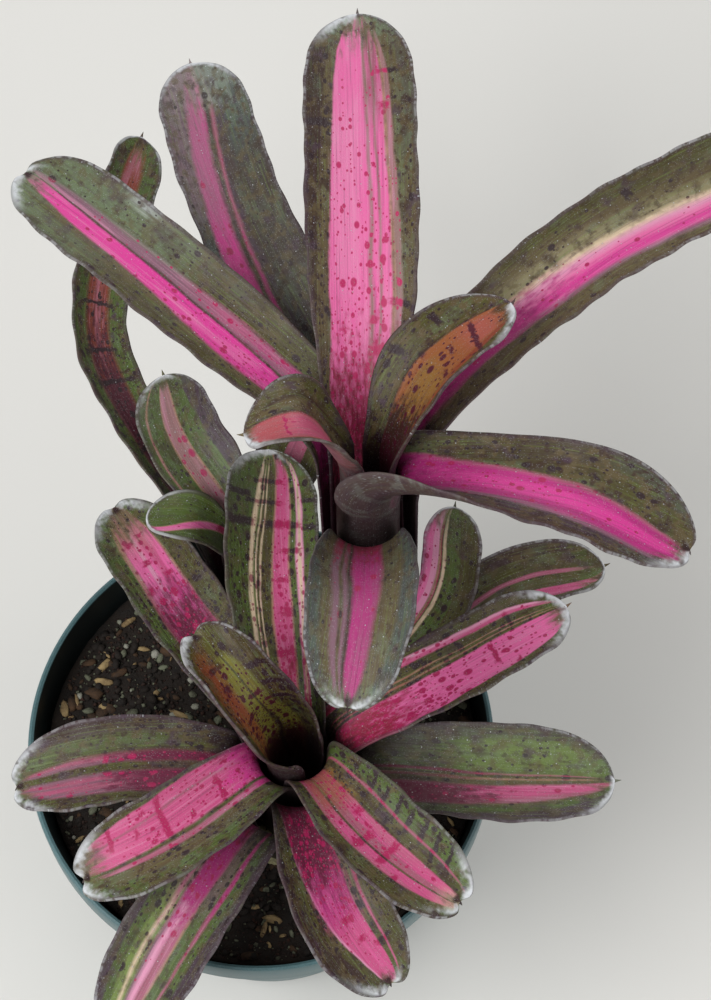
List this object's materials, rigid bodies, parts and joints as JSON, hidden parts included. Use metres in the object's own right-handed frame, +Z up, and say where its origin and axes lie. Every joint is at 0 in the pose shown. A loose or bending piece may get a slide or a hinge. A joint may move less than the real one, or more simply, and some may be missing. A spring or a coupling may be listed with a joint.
{
  "type": "neoregelia bromeliad in a nursery pot",
  "caption": "Potted neoregelia bromeliad: tubular rosettes of pink-striped, olive-edged strap leaves standing in soil in a round plastic nursery pot.",
  "frame": {"origin": "centre of the pot's flat underside, on the surface it stands on", "axes": "+Z up through the pot's axis; +Y towards the back of the plant, where the tall rosette leans; +X to the right seen from the front"},
  "size_m": [0.1866, 0.2418, 0.1792],
  "materials": {
    "striped_leaf": "satin",
    "silver_leaf": "satin",
    "stem": "matte",
    "potting_mix": "matte",
    "pot_plastic": "satin"
  },
  "bodies": {
    "root": {"pot": "pot_plastic", "potting_mix": "potting_mix", "front_stem": "stem", "tall_stem": "stem", "back_stem": "stem", "front_leaf_01": "striped_leaf", "front_leaf_02": "striped_leaf", "front_leaf_03": "striped_leaf", "front_leaf_04": "striped_leaf", "front_leaf_05": "striped_leaf", "front_leaf_06": "striped_leaf", "front_leaf_07": "striped_leaf", "front_leaf_08": "striped_leaf", "front_leaf_09": "striped_leaf", "front_leaf_10": "silver_leaf", "front_leaf_11": "striped_leaf", "front_leaf_12": "striped_leaf", "tall_leaf_01": "striped_leaf", "tall_leaf_02": "striped_leaf", "tall_leaf_03": "striped_leaf", "tall_leaf_04": "silver_leaf", "tall_leaf_05": "striped_leaf", "tall_leaf_06": "striped_leaf", "tall_leaf_07": "striped_leaf", "tall_leaf_08": "silver_leaf", "back_leaf_01": "striped_leaf", "back_leaf_02": "striped_leaf", "back_leaf_03": "striped_leaf", "back_leaf_04": "striped_leaf"}
  },
  "joints": []
}
